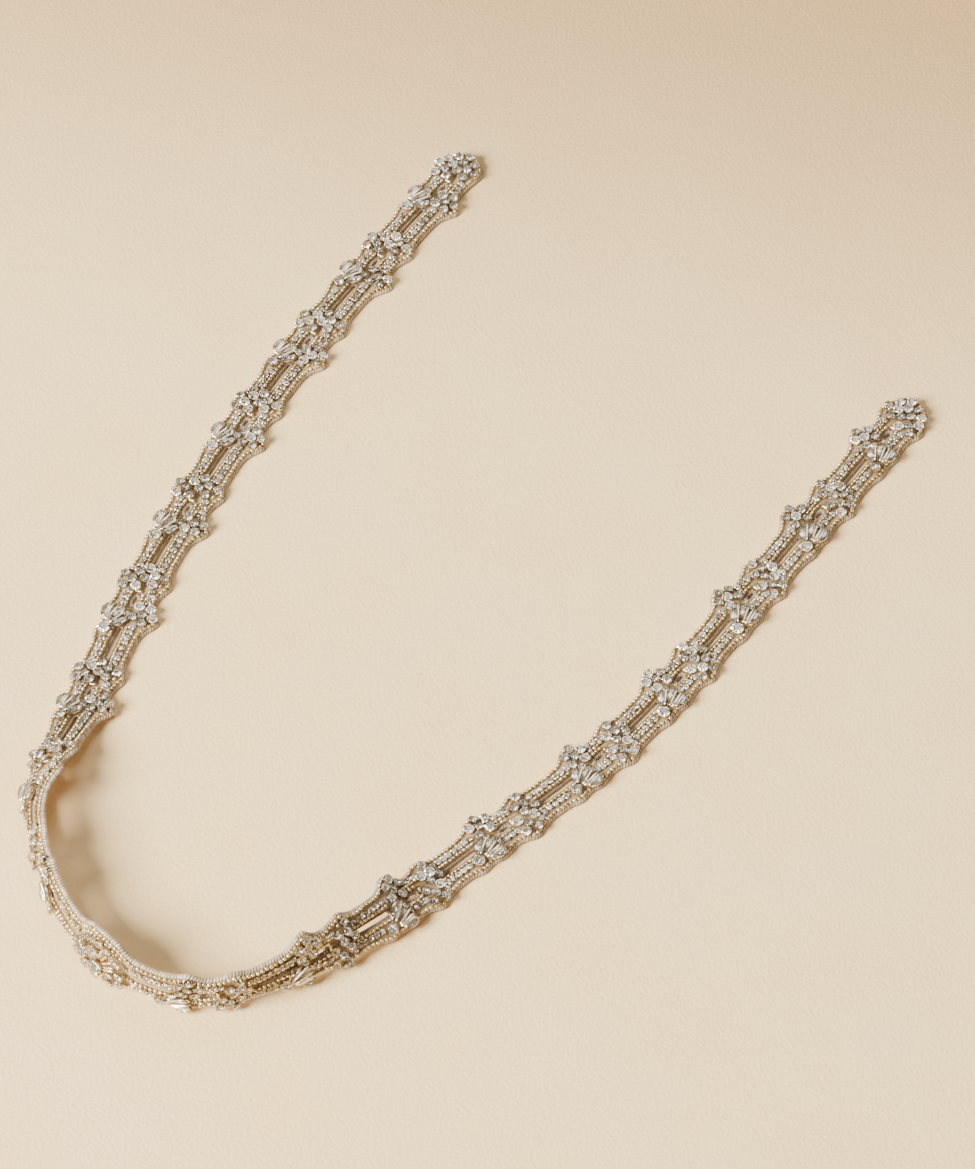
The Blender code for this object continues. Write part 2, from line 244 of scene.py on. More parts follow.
def start_material(name):
    """A new material with only a Principled shader: its tree and the shader."""
    material = bpy.data.materials.new(name)
    material.use_nodes = True
    return material, material.node_tree, material.node_tree.nodes["Principled BSDF"]


def ramp(tree, value, stops):
    """A colour ramp through (place, hex colour) stops, read at a value. Returns its colour output."""
    made = add_node(tree, "ShaderNodeValToRGB", [("Fac", value)])
    while len(made.color_ramp.elements) < len(stops):
        made.color_ramp.elements.new(0.5)
    for element, (place, colour) in zip(made.color_ramp.elements, stops):
        element.position = place
        element.color = linear(colour)
    return made.outputs["Color"]


def object_place(tree):
    """Where a point is on its object, in metres."""
    return add_node(tree, "ShaderNodeTexCoord").outputs["Object"]


def per_mm(size_mm):
    """Texture scale, in repeats per metre, of a pattern whose repeat is this many millimetres."""
    return 1000.0 / size_mm


def noise(tree, place, size_mm, detail):
    """Noise of this size in millimetres, read at a place."""
    return add_node(tree, "ShaderNodeTexNoise", [
        ("Vector", place), ("Scale", per_mm(size_mm)), ("Detail", detail),
    ]).outputs["Fac"]


def map_range(tree, value, start, end, low=0.0, high=1.0, **settings):
    """A value that runs from start to end, made to run from low to high."""
    return add_node(tree, "ShaderNodeMapRange", [
        ("Value", value), ("From Min", start), ("From Max", end), ("To Min", low), ("To Max", high),
    ], **settings).outputs["Result"]


def mix(tree, factor, first, second):
    """Two colours mixed by a factor."""
    sockets = [("Factor", factor), ("A", first), ("B", second)]
    return add_node(tree, "ShaderNodeMix", sockets, data_type="RGBA").outputs["Result"]


def bump(tree, height, strength, depth, over=None, **settings):
    """The normal of a surface raised by a height, over another such normal if one is given."""
    sockets = [("Height", height), ("Strength", strength), ("Distance", depth)]
    if over is not None:
        sockets.append(("Normal", over))
    return add_node(tree, "ShaderNodeBump", sockets, **settings).outputs["Normal"]


plaster, tree, shader = start_material("trowelled_plaster")
place = object_place(tree)
marks = noise(tree, place, TROWEL_MARK_MM, 5.0)
grain = noise(tree, place, GRAIN_MM, 4.0)
# The plaster's tone drifts from mark to mark, and painted shade darkens it towards the far right corner
near_tone = ramp(tree, marks, [(0.3, PLASTER_WARM), (0.7, PLASTER_PALE)])
slant = add_node(tree, "ShaderNodeVectorMath", [(0, place), (1, PAINTED_SHADE_DIRECTION)], operation="DOT_PRODUCT")
floor_painted_shade = map_range(tree, slant.outputs["Value"], *PAINTED_SHADE_RUN, interpolation_type="SMOOTHSTEP")
# Hairline scratches of the trowel: noise drawn out long in one direction, of which only thin bands show
drawn_out = add_node(tree, "ShaderNodeMapping", [
    ("Vector", place), ("Rotation", (0.0, 0.0, SCRATCH_TURN)), ("Scale", SCRATCH_STRETCH),
]).outputs["Vector"]
hairs = map_range(tree, noise(tree, drawn_out, SCRATCH_MM, 1.0), *SCRATCH_BAND)
rough = bump(tree, grain, *GRAIN_BUMP, over=bump(tree, marks, *MARK_BUMP))
set_sockets(tree, shader, [
    ("Base Color", mix(tree, floor_painted_shade, near_tone, linear(PLASTER_PAINTED_SHADE))),
    ("Roughness", 0.85), ("Specular IOR Level", 0.25),
    ("Normal", bump(tree, hairs, *SCRATCH_BUMP, over=rough, invert=True)),
])

floor_mesh = bpy.data.meshes.new("floor")
corners = [(x * FLOOR_HALF, y * FLOOR_HALF, 0.0) for x, y in ((-1, -1), (1, -1), (1, 1), (-1, 1))]
floor_mesh.from_pydata(corners, [], [(0, 1, 2, 3)])
floor_mesh.materials.append(plaster)
floor = bpy.data.objects.new("floor", floor_mesh)
bpy.context.scene.collection.objects.link(floor)


# The backing: one long strip of champagne net on thin felt, about 2 mm thick under the rails, with
# a scalloped outline round the flowers. Its slots and small oval openings are cut right through.
RAIL_REACH = 0.0084
TIP_ROUND = 0.0075
EDGE_THICK = 0.0009
RAIL_TOP = 0.0020
MIDDLE_CENTRE = (0.0036, 0.0008)
MIDDLE_SWELL = {1: 0.0046, -1: 0.0030}
MIDDLE_SWELL_RUN = 0.0119
# The first inner lobe on the left arm is smaller than the others and sits nearer the tip
LEFT_TIP_LOBE = {"u": -0.0140, "extra": 0.0010}
# Beside the middle the inner scallops are drawn in: by this share of their reach, over this run
DRAWN_IN = 0.70
DRAWN_RUN = 0.060
SLOT = {"middle": 0.02325, "half_length": 0.00925, "half_width": 0.00115}
EYELET = {"half_length": 0.0030, "half_width": 0.00155}
VALLEY_HALF = 0.0010
VALLEY_HEIGHT = 0.0010
NET_STEP = 0.0008
# Rows of points are no closer than this, and a hole no wider than this on each side is none
LEAST_STEP = 0.00004
LEAST_HOLE = 0.00005
# Faces that meet at more than this angle keep a crisp edge
STRIP_CRISP = math.radians(50.0)
NET_MM = 0.9
FELT_MM = 0.35
# Distances from a cell's edge between which the net's thread ends, as shares of a cell
NET_THREAD = (0.05, 0.16)
# Bump: strength, depth in metres
NET_BUMP = (0.8, 0.00015)
FELT_BUMP = (0.5, 0.0001)
NAP_BUMP = (0.6, 0.00012)

# Columns: flower, side, u, extra reach, width towards the tip, width towards the middle
SWELLS = (
    ("cluster, inner lobe", 1, -0.0108, 0.0024, 0.0046, 0.0046),
    ("rosette", 1, 0.0075, 0.0046, 0.0042, 0.0060),
    ("cluster, outer lobe", -1, -0.0082, 0.0026, 0.0050, 0.0050),
    ("fan", -1, 0.0080, 0.0015, 0.0050, 0.0050),
    ("fan stone", -1, 0.0185, 0.0015, 0.0042, 0.0042),
)

# The rounded shoulder from an edge up to a rail's flat top: distance from the edge, share of the rise
SHOULDER = ((0.0, 0.0), (0.0004, 0.42), (0.0010, 0.82), (0.0016, 1.0))


def half_width(s, side):
    """How far the outline reaches on one side: the rail, Gaussian swells round the flowers, the round tip."""
    away = np.abs(s)
    index = np.clip(np.round((REPEATS * PITCH - away) / PITCH), 0, REPEATS - 1)
    reach = np.full_like(away, RAIL_REACH)
    drawn = 1.0 - DRAWN_IN * (side > 0) * np.exp(-(s / DRAWN_RUN) ** 4)
    for neighbour in (index - 1, index, index + 1):
        inside = (neighbour >= 0) & (neighbour < REPEATS)
        u = (REPEATS - neighbour) * PITCH - away
        for flower, swell_side, centre, extra, tipward, inward in SWELLS:
            if swell_side != side:
                continue
            if flower == "cluster, inner lobe":
                left_tip = (neighbour == 0) & (s < 0.0)
                centre = np.where(left_tip, LEFT_TIP_LOBE["u"], centre)
                extra = np.where(left_tip, LEFT_TIP_LOBE["extra"], extra)
            width = np.where(u < centre, tipward, inward)
            reach += inside * drawn * extra * np.exp(-((u - centre) / width) ** 2)
    reach += MIDDLE_SWELL[side] * np.exp(-((s - MIDDLE_CENTRE[0]) / MIDDLE_SWELL_RUN) ** 4)
    from_tip = np.clip((HALF_LENGTH - away) / TIP_ROUND, 0.0, 1.0)
    return reach * np.sqrt(1.0 - (1.0 - from_tip) ** 2)


def hole_half(s):
    """Half the width of the hole at s: a slot with half-round ends, or an oval eyelet, or 0."""
    u = REPEATS * PITCH - np.abs(s)
    in_slot = np.where(u > 0.0, np.mod(u, PITCH), -1.0)
    past = np.abs(in_slot - SLOT["middle"]) - (SLOT["half_length"] - SLOT["half_width"])
    slot = SLOT["half_width"] ** 2 - np.maximum(past, 0.0) ** 2
    in_eyelet = np.mod(u + PITCH / 2.0, PITCH) - PITCH / 2.0
    eyelet = EYELET["half_width"] ** 2 * (1.0 - (in_eyelet / EYELET["half_length"]) ** 2)
    eyelet = np.where(np.abs(s) > PITCH / 2.0, eyelet, -1.0)
    return np.sqrt(np.clip(np.maximum(slot, eyelet), 0.0, None))


def make_mesh(name, points, faces, materials, slots=None, smooth=True, uv=None, tone=None):
    """One object from a point array and face arrays, one array for each number of corners."""
    mesh = bpy.data.meshes.new(name)
    mesh.vertices.add(len(points))
    mesh.vertices.foreach_set("co", np.asarray(points, np.float32).ravel())
    loops = np.concatenate([f.ravel() for f in faces])
    sizes = np.concatenate([np.full(len(f), f.shape[1]) for f in faces])
    mesh.loops.add(len(loops))
    mesh.loops.foreach_set("vertex_index", loops.astype(np.int32))
    mesh.polygons.add(len(sizes))
    mesh.polygons.foreach_set("loop_start", (np.cumsum(sizes) - sizes).astype(np.int32))
    for material in materials:
        mesh.materials.append(material)
    if slots is not None:
        which = np.concatenate([np.full(len(f), slot) for f, slot in zip(faces, slots)])
        mesh.polygons.foreach_set("material_index", which.astype(np.int32))
    mesh.polygons.foreach_set("use_smooth", np.full(len(sizes), smooth))
    if uv is not None:
        layer = mesh.uv_layers.new(name="strip")
        layer.data.foreach_set("uv", np.asarray(uv, np.float32)[loops].ravel())
    if tone is not None:
        values = mesh.attributes.new("tone", "FLOAT", "POINT")
        values.data.foreach_set("value", np.asarray(tone, np.float32).ravel())
    mesh.update(calc_edges=True)
    mesh.validate()
    made = bpy.data.objects.new(name, mesh)
    bpy.context.scene.collection.objects.link(made)
    return made


def backing_stations():
    """s of every row of points: even steps, with more of them at the ends of the holes and at the tips."""
    even = np.linspace(0.0, HALF_LENGTH - 0.0001, round(HALF_LENGTH / NET_STEP))
    turn = np.linspace(0.0, math.pi / 2.0, 6)
    slot_end = SLOT["half_width"] * (1.0 - np.cos(turn))
    eyelet_end = EYELET["half_length"] * (1.0 - np.sin(turn))
    from_opening = np.concatenate([
        SLOT["middle"] - SLOT["half_length"] + slot_end,
        SLOT["middle"] + SLOT["half_length"] - slot_end,
        eyelet_end - EYELET["half_length"],
        EYELET["half_length"] - eyelet_end,
    ])
    repeats = (REPEATS - np.arange(REPEATS))[:, None] * PITCH
    tips = HALF_LENGTH - TIP_ROUND * (1.0 - np.cos(turn[1:]))
    away = np.concatenate([even, (repeats - from_opening[None]).ravel(), tips])
    away = np.unique(np.round(away, 5))
    away = away[np.concatenate([[True], np.diff(away) > LEAST_STEP])]
    return np.concatenate([-away[:0:-1], away])


def make_backing():
    """The strip as a closed wall: flat behind, with two rails whose shoulders follow the SHOULDER profile.

    Columns of a row go round it: the outer rail's top from the edge to the hole, the inner rail's top
    from the hole to the edge, then the same points behind. Where nothing is cut, the two columns at
    the hole are one point, so that the wall closes up.
    """
    s = backing_stations()
    hole = hole_half(s)
    cut = hole > LEAST_HOLE
    hole = np.where(cut, hole, 0.0)
    outer, inner = half_width(s, -1), half_width(s, 1)
    narrow = np.clip(np.minimum(outer, inner) / RAIL_REACH, 0.0, 1.0)
    valley = np.maximum(VALLEY_HALF * narrow, hole + 0.0001)
    top, height = [], []
    for reach, side in ((outer, -1.0), (inner, 1.0)):
        columns = [
            (side * (reach - run * narrow), EDGE_THICK + (RAIL_TOP - EDGE_THICK) * rise)
            for run, rise in SHOULDER
        ]
        columns.append((side * (reach + valley) / 2.0, RAIL_TOP))
        columns += [
            (side * (valley + run * narrow), VALLEY_HEIGHT + (RAIL_TOP - VALLEY_HEIGHT) * rise)
            for run, rise in SHOULDER[::-1]
        ]
        columns.append((side * hole, VALLEY_HEIGHT))
        if side > 0.0:
            columns.reverse()
        top += [v for v, _ in columns]
        height += [h for _, h in columns]
    per_side = len(top) // 2
    back = [inner, hole, -hole, -outer]
    v = np.stack(top + back, axis=1)
    h = np.broadcast_to(np.array(height + [0.0] * 4), v.shape)
    points = laid(s[:, None], v, h)
    rows, count = v.shape
    index = np.arange(rows * count).reshape(rows, count)
    hole_top = (per_side - 1, per_side)
    hole_back = (count - 2, count - 3)
    for left, right in (hole_top, hole_back):
        index[~cut, right] = index[~cut, left]
    ring = list(range(count)) + [0]
    face, behind, walls = [], [], []
    for a, b in zip(ring[:-1], ring[1:]):
        if (a, b) in (hole_top, hole_back[::-1]):
            continue
        quads = np.stack([index[:-1, a], index[1:, a], index[1:, b], index[:-1, b]], axis=1)
        (behind if min(a, b) >= 2 * per_side else face).append(quads)
    walled = cut[:-1] | cut[1:]
    for a, b in ((hole_top[0], hole_back[0]), (hole_back[1], hole_top[1])):
        wall = np.stack([index[:-1, a], index[1:, a], index[1:, b], index[:-1, b]], axis=1)
        walls.append(wall[walled])
    drop = {hole_top[1], hole_back[1]}
    cap = np.array([c for c in range(count) if c not in drop])
    caps = np.stack([index[0, cap], index[-1, cap[::-1]]])
    groups = [np.concatenate(face), np.concatenate(behind), np.concatenate(walls), caps]
    used = np.unique(np.concatenate([group.ravel() for group in groups]))
    fresh = np.zeros(rows * count, int)
    fresh[used] = np.arange(len(used))
    uv = np.stack([np.broadcast_to(s[:, None], v.shape), v], axis=-1).reshape(-1, 2)
    width = inner + outer - 2.0 * hole
    area = np.sum((width[1:] + width[:-1]) / 2.0 * np.diff(s))
    return points.reshape(-1, 3)[used], [fresh[group] for group in groups], uv[used], float(area)


net, tree, shader = start_material("champagne_net_on_felt")
strip_uv = add_node(tree, "ShaderNodeUVMap", uv_map="strip").outputs["UV"]
# Tulle is a fine hexagonal net, drawn here at nearly its real size; the felt in its cells is darkened,
# painted shade for the shade between the beads
cells = add_node(tree, "ShaderNodeTexVoronoi", [
    ("Vector", strip_uv), ("Scale", per_mm(NET_MM)), ("Randomness", 0.25),
], feature="DISTANCE_TO_EDGE", voronoi_dimensions="2D")
fibres = noise(tree, strip_uv, FELT_MM, 3.0)
felt_in_painted_shade = ramp(tree, fibres, [(0.3, "#7c613e"), (0.7, "#a0865c")])
on_thread = map_range(tree, cells.outputs["Distance"], *NET_THREAD, low=1.0, high=0.0)
set_sockets(tree, shader, [
    ("Base Color", mix(tree, on_thread, felt_in_painted_shade, linear("#bda274"))),
    ("Roughness", 0.8), ("Sheen Weight", 0.3), ("Sheen Roughness", 0.45),
    ("Normal", bump(tree, on_thread, *NET_BUMP, over=bump(tree, fibres, *FELT_BUMP))),
])

back_felt, tree, shader = start_material("champagne_felt_back")
# Behind, the plain felt shows in its own colour: paler than the front, whose darker felt is painted shade,
# short-napped and quite matt
strip_uv = add_node(tree, "ShaderNodeUVMap", uv_map="strip").outputs["UV"]
nap = noise(tree, strip_uv, FELT_MM, 4.0)
set_sockets(tree, shader, [
    ("Base Color", ramp(tree, nap, [(0.3, "#b39c78"), (0.7, "#cdb892")])),
    ("Roughness", 0.9), ("Sheen Weight", 0.4), ("Normal", bump(tree, nap, *NAP_BUMP)),
])

points, faces, uv, NET_AREA = make_backing()
net_strip = make_mesh("net_strip", points, faces, [net, back_felt], slots=[0, 1, 2, 0], uv=uv)
net_strip.data.set_sharp_from_angle(angle=STRIP_CRISP)
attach(net_strip, "root")
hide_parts("backing_strip")


# The overcast edges: every cut edge is wrapped closely in silver-taupe rayon thread over a thin
# core, so it reads as a fine rope. Real wraps are 0.45 mm apart; here they are drawn coarser.
EDGE_CORD = {
    "radius": 0.00050, "inset": 0.00040, "height": 0.00104, "wide": 1.60, "tilt": math.radians(118.7),
}
# Their shade is painted shade: how far the thread's tone round a slot or eyelet is lowered, for the shade
# down inside the hole
SLOT_CORD = {"radius": 0.00050, "outset": 0.00008, "height": 0.00110, "hole_painted_shade": 0.30}
EYELET_CORD = {"radius": 0.00078, "outset": -0.00018, "height": 0.00110, "hole_painted_shade": 0.16}
WRAP_PITCH = 0.00125
WRAP_DEPTH = 0.26
# The swing is painted shade: the tone is lowered in the grooves between wraps and raised on their crowns; the
# spread differs at random from wrap to wrap
WRAP_TONE_AND_SHADE = {"middle": 0.5, "swing": 0.36, "spread": 0.18}
STEPS_PER_WRAP = 5
STRAND_MM = 0.5
STRAND_BUMP = (0.6, 0.0001)
# The outline is sampled more closely over this run at each tip
OUTLINE_END = 0.012
OUTLINE_END_SAMPLES = 200
OUTLINE_SAMPLES = 4600
HOLE_SAMPLES = 121
rng = np.random.default_rng(5)


def run_along(s, v, h, step, closed=False, centred=False):
    """Even steps along a line drawn on the strip: centres, and frames of tangent, sideways, outward."""
    fine = laid(s, v, h)
    length = length_along(fine)
    count = max(3, round(length[-1] / step))
    at = np.arange(count + (0 if closed or centred else 1)) * length[-1] / count
    if centred:
        at = at + 0.5 * length[-1] / count
    centre = read_at(at, length, fine)
    here = np.interp(at, length, s)
    ahead, behind = at + step / 2.0, at - step / 2.0
    if closed:
        ahead, behind = np.mod(ahead, length[-1]), np.mod(behind, length[-1])
    tangent = unit(read_at(ahead, length, fine) - read_at(behind, length, fine))
    side = unit(np.cross(on_route(OUTWARD, here), tangent))
    return centre, np.stack([tangent, side, np.cross(tangent, side)], axis=1)


def ring_quads(sides, rings, closed):
    """Quads from each ring of points to the next, and from the last to the first if closed."""
    here = sides * np.arange(rings if closed else rings - 1)[:, None]
    after = (here + sides) % (rings * sides)
    j = np.arange(sides)
    k = (j + 1) % sides
    return np.stack([here + j, here + k, after + k, after + j], axis=-1).reshape(-1, 4)


def wrapped_cord(lines, radius, sides, wide=1.0, tilt=0.0):
    """Closed cords: centre + r (wide cos a major + sin a minor), where r swells once in each slanting wrap.

    The major axis is the sideways one turned outward by the tilt, so a wide, tilted cord lies over an edge.
    The tone is darkened in the groove between two wraps as painted shade, and it differs a little from wrap
    to wrap.
    """
    all_points, all_faces, cord_tones_and_shade, start = [], [], [], 0
    angle = np.arange(sides) * 2.0 * math.pi / sides
    for s, v, h in lines:
        centre, frames = run_along(s, v, h, WRAP_PITCH / STEPS_PER_WRAP, closed=True)
        rings = len(centre)
        wraps = round(rings / STEPS_PER_WRAP)
        wave = np.cos(2.0 * math.pi * wraps * np.arange(rings)[:, None] / rings + angle[None, :])
        r = radius * (1.0 + WRAP_DEPTH * wave)[..., None]
        spread = WRAP_TONE_AND_SHADE["spread"]
        own = rng.uniform(-spread, spread, wraps + 2)[np.arange(rings) * wraps // rings]
        cord_tones_and_shade.append((WRAP_TONE_AND_SHADE["middle"] + WRAP_TONE_AND_SHADE["swing"] * wave + own[:, None]).ravel())
        major = math.cos(tilt) * frames[:, None, 1] + math.sin(tilt) * frames[:, None, 2]
        minor = math.cos(tilt) * frames[:, None, 2] - math.sin(tilt) * frames[:, None, 1]
        ring = wide * np.cos(angle)[None, :, None] * major + np.sin(angle)[None, :, None] * minor
        all_points.append((centre[:, None] + r * ring).reshape(-1, 3))
        all_faces.append(ring_quads(sides, rings, closed=True) + start)
        start += rings * sides
    return np.concatenate(all_points), [np.concatenate(all_faces)], np.concatenate(cord_tones_and_shade)


def outline_loop(inset):
    """The strip's outline, set in by a distance square to itself, as one closed line."""
    round_end = OUTLINE_END * (1.0 - np.cos(np.linspace(0.0, math.pi / 2.0, OUTLINE_END_SAMPLES)))
    straight_end = HALF_LENGTH - OUTLINE_END - 0.0001
    between_ends = np.linspace(-straight_end, straight_end, OUTLINE_SAMPLES)
    fine = np.concatenate([-HALF_LENGTH + round_end, between_ends, HALF_LENGTH - round_end[::-1]])
    s = np.concatenate([fine, fine[-2:0:-1]])
    v = np.concatenate([half_width(fine, 1), -half_width(fine[-2:0:-1], -1)])
    ds, dv = np.roll(s, -1) - np.roll(s, 1), np.roll(v, -1) - np.roll(v, 1)
    size = np.maximum(np.hypot(ds, dv), 1e-9)
    s, v = s + inset * dv / size, v - inset * ds / size
    return np.append(s, s[0]), np.append(v, v[0])


def hole_loops(kind, outset, height):
    """Closed lines round every slot or every eyelet, a distance outside its edge.

    An eyelet is an oval. A slot is straight while |3 cos t| < 1 and a half circle at each end.
    """
    turn = np.linspace(0.0, 2.0 * math.pi, HOLE_SAMPLES)
    loops = []
    for arm in (-1.0, 1.0):
        for index in range(REPEATS):
            if kind == "slot":
                r = SLOT["half_width"] + outset
                straight = SLOT["half_length"] - SLOT["half_width"]
                u = SLOT["middle"] + straight * np.clip(3.0 * np.cos(turn), -1.0, 1.0) + r * np.cos(turn)
                v = r * np.sin(turn)
            else:
                u = (EYELET["half_length"] + outset) * np.cos(turn)
                v = (EYELET["half_width"] + outset) * np.sin(turn)
            loops.append((arm * ((REPEATS - index) * PITCH - u), v, height))
    return loops


thread, tree, shader = start_material("overcast_rayon_thread")
# The wraps' tone: painted shade makes it dull brown taupe down in the grooves, and it is silky pale pinkish
# beige on the crowns
wrap_tone_and_shade = add_node(tree, "ShaderNodeAttribute", attribute_name="tone").outputs["Fac"]
# Rayon filaments lie side by side in a wrap and give it a fine silky unevenness
strands = noise(tree, object_place(tree), STRAND_MM, 2.0)
set_sockets(tree, shader, [
    ("Base Color", ramp(tree, wrap_tone_and_shade, [(0.1, "#5f4a37"), (0.5, "#a68f75"), (0.95, "#dfccb4")])),
    ("Roughness", 0.42), ("Sheen Weight", 0.2), ("Normal", bump(tree, strands, *STRAND_BUMP)),
])

s, v = outline_loop(EDGE_CORD["inset"])
points, faces, tone = wrapped_cord([(s, v, EDGE_CORD["height"])], EDGE_CORD["radius"], 8,
                                   EDGE_CORD["wide"], EDGE_CORD["tilt"])
edge_thread = make_mesh("edge_thread", points, faces, [thread], tone=tone)
slot_lines = hole_loops("slot", SLOT_CORD["outset"], SLOT_CORD["height"])
# The thread that draws the openings together is lowered in tone, towards a browner taupe than the one along
# the outline: painted shade for the shade down in the openings
points, faces, tone = wrapped_cord(slot_lines, SLOT_CORD["radius"], 6)
slot_thread = make_mesh("slot_thread", points, faces, [thread], tone=tone - SLOT_CORD["hole_painted_shade"])
# Round the eyelets the thread is darkened less, also as painted shade
eyelet_lines = hole_loops("eyelet", EYELET_CORD["outset"], EYELET_CORD["height"])
points, faces, tone = wrapped_cord(eyelet_lines, EYELET_CORD["radius"], 6)
eyelet_thread = make_mesh("eyelet_thread", points, faces, [thread], tone=tone - EYELET_CORD["hole_painted_shade"])
# The walls of the holes are wrapped in the same thread; the strip has no tone, so they take its darkest
# groove colour, painted shade
net_strip.data.materials.append(thread)
for piece in (edge_thread, slot_thread, eyelet_thread):
    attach(piece, "root")
STRIP_WIDTH = float(half_width(ROUTE_S, 1).max() + half_width(ROUTE_S, -1).max())


# The gold rows: short gold-lined glass beads sewn end to end. One row follows the whole outline
# inside the thread edge, and shorter rows follow both sides of every slot and eyelet.
BEAD = {"length": 0.00162, "radius": 0.00076, "step": 0.00192}
# How unlike the beads are: shift, swing in radians, least and most girth and length
BEAD_SPREAD = {"shift": 0.00007, "swing": 0.07, "girth": (0.93, 1.05), "length": (0.93, 1.04)}
# A bead's axis stands this share of its radius above the rail, and in the edge row a little lower
BEAD_STANDS = 0.8
EDGE_ROW_LOWER = 0.0003
ROW_INSET = 0.00122
SLOT_ROW = {"v": 0.00262, "from_u": 0.0135, "to_u": 0.0345}
MIDDLE_ROW = {"from_s": -0.0155, "to_s": -0.0100}
# Columns: u and v of the row's middle, run of u and of v to its end, bow in v
EYELET_ROWS = (
    (0.0, 0.0027, 0.0036, 0.0, -0.0005),
    (0.0010, -0.0027, 0.0045, 0.0, 0.0004),
    (-0.0040, 0.0, 0.0, 0.0010, 0.0),
    (-0.0016, 0.0043, 0.0048, 0.0, -0.0004),
)


def frames_at(s, turn=0.0, lean=0.0):
    """Frames of along, across and outward at s, turned in the strip's plane and leaned at random."""
    s = np.asarray(s, float)
    along, across, outward = on_route(ALONG, s), on_route(ACROSS, s), on_route(OUTWARD, s)
    turn = np.broadcast_to(turn, s.shape)[:, None]
    x = unit(np.cos(turn) * along + np.sin(turn) * across)
    tip = rng.normal(0.0, 1.0, (len(s), 2)) * lean
    z = unit(outward + tip[:, :1] * along + tip[:, 1:] * across)
    y = unit(np.cross(z, x))
    return np.stack([np.cross(y, z), y, z], axis=1)


def copies(shape, faces, centres, frames, size=1.0):
    """Copies of one small shape, each at its centre, in its frame and to its size along the three axes."""
    size = np.broadcast_to(size, (len(centres), 3))
    local = shape[None] * size[:, None]
    points = centres[:, None] + np.einsum("nmk,nkc->nmc", local, frames)
    starts = (np.arange(len(centres)) * len(shape))[:, None, None]
    return points.reshape(-1, 3), [(f[None] + starts).reshape(-1, f.shape[1]) for f in faces]


def turned(profile, sides, first_turn=0.0):
    """Rings of points (r cos t, r sin t, z), one for each (r, z) of a profile."""
    angle = first_turn + np.arange(sides) * 2.0 * math.pi / sides
    return np.concatenate([
        np.column_stack([r * np.cos(angle), r * np.sin(angle), np.full(sides, z)]) for r, z in profile
    ])


def bead_shape():
    """A short bead of unit half length and radius along x, closed by an octagon at each end."""
    sides = 8
    profile = ((0.45, -1.0), (0.93, -0.62), (1.0, 0.0), (0.93, 0.62), (0.45, 1.0))
    j = np.arange(sides)
    ends = np.stack([j[::-1], (len(profile) - 1) * sides + j])
    return turned(profile, sides)[:, [2, 0, 1]], [ring_quads(sides, len(profile), closed=False), ends]


BEAD_POINTS, BEAD_FACES = bead_shape()


def sew_beads(name, rows, material, clear_of=None):
    """Rows of beads along lines on the strip, each bead turned, shifted and toned a little by itself.

    clear_of has rows of a centre and a distance: no bead is sewn nearer than that to the centre.
    """
    runs = [run_along(s, v, h, BEAD["step"], centred=True) for s, v, h in rows]
    centres, frames = (np.concatenate(part) for part in zip(*runs))
    if clear_of is not None:
        gap = np.linalg.norm(centres[:, None] - clear_of[None, :, :3], axis=2)
        free = (gap > clear_of[:, 3]).all(axis=1)
        centres, frames = centres[free], frames[free]
    count = len(centres)
    wobble = rng.normal(0.0, BEAD_SPREAD["shift"], (count, 3))
    swing = rng.normal(0.0, BEAD_SPREAD["swing"], count)[:, None]
    x = unit(frames[:, 0] + swing * frames[:, 1])
    y = unit(np.cross(frames[:, 2], x))
    frames = np.stack([x, y, np.cross(x, y)], axis=1)
    girth = BEAD["radius"] * rng.uniform(*BEAD_SPREAD["girth"], count)
    half_length = BEAD["length"] / 2.0 * rng.uniform(*BEAD_SPREAD["length"], count)
    size = np.stack([half_length, girth, girth], axis=1)
    points, faces = copies(BEAD_POINTS, BEAD_FACES, centres + wobble, frames, size)
    tone = np.repeat(rng.random(count), len(BEAD_POINTS))
    return make_mesh(name, points, faces, [material], tone=tone)


gold, tree, shader = start_material("gold_lined_glass")
# Clear glass over a gold lining: it shines like metal under a hard glossy coat, and no two are alike
tone = add_node(tree, "ShaderNodeAttribute", attribute_name="tone").outputs["Fac"]
lining = ramp(tree, tone, [(0.0, "#b39865"), (0.35, "#d2b984"), (0.7, "#ead6a5"), (1.0, "#fbf0d0")])
set_sockets(tree, shader, [
    ("Base Color", lining), ("Metallic", 0.85), ("Roughness", 0.22),
    ("Coat Weight", 1.0), ("Coat Roughness", 0.04),
])

bead_height = RAIL_TOP + BEAD["radius"] * BEAD_STANDS
s, v = outline_loop(ROW_INSET)
inner_side = slice(0, len(s) // 2 + 1)
outer_side = slice(len(s) // 2, len(s))
edge_rows = [(s[side], v[side], bead_height - EDGE_ROW_LOWER) for side in (inner_side, outer_side)]
gold_edge_rows = sew_beads("gold_edge_rows", edge_rows, gold)
slot_rows, eyelet_rows = [], []
for arm in (-1.0, 1.0):
    for index in range(REPEATS):
        opening = (REPEATS - index) * PITCH
        u = np.linspace(SLOT_ROW["from_u"], SLOT_ROW["to_u"], 60)
        for side in (-1.0, 1.0):
            slot_rows.append((arm * (opening - u), np.full_like(u, side * SLOT_ROW["v"]), bead_height))
        at = np.linspace(-1.0, 1.0, 30)
        for u, v, run, rise, bow in EYELET_ROWS:
            row = (arm * (opening - u - run * at), v + rise * at + bow * at ** 2, bead_height)
            eyelet_rows.append(row)
middle_run = np.linspace(MIDDLE_ROW["from_s"], MIDDLE_ROW["to_s"], 20)
for side in (-1.0, 1.0):
    slot_rows.append((middle_run, np.full_like(middle_run, side * SLOT_ROW["v"]), bead_height))
gold_slot_rows = sew_beads("gold_slot_rows", slot_rows, gold)
gold_eyelet_rows = sew_beads("gold_eyelet_rows", eyelet_rows, gold)
for piece in (gold_edge_rows, gold_slot_rows, gold_eyelet_rows):
    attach(piece, "root")


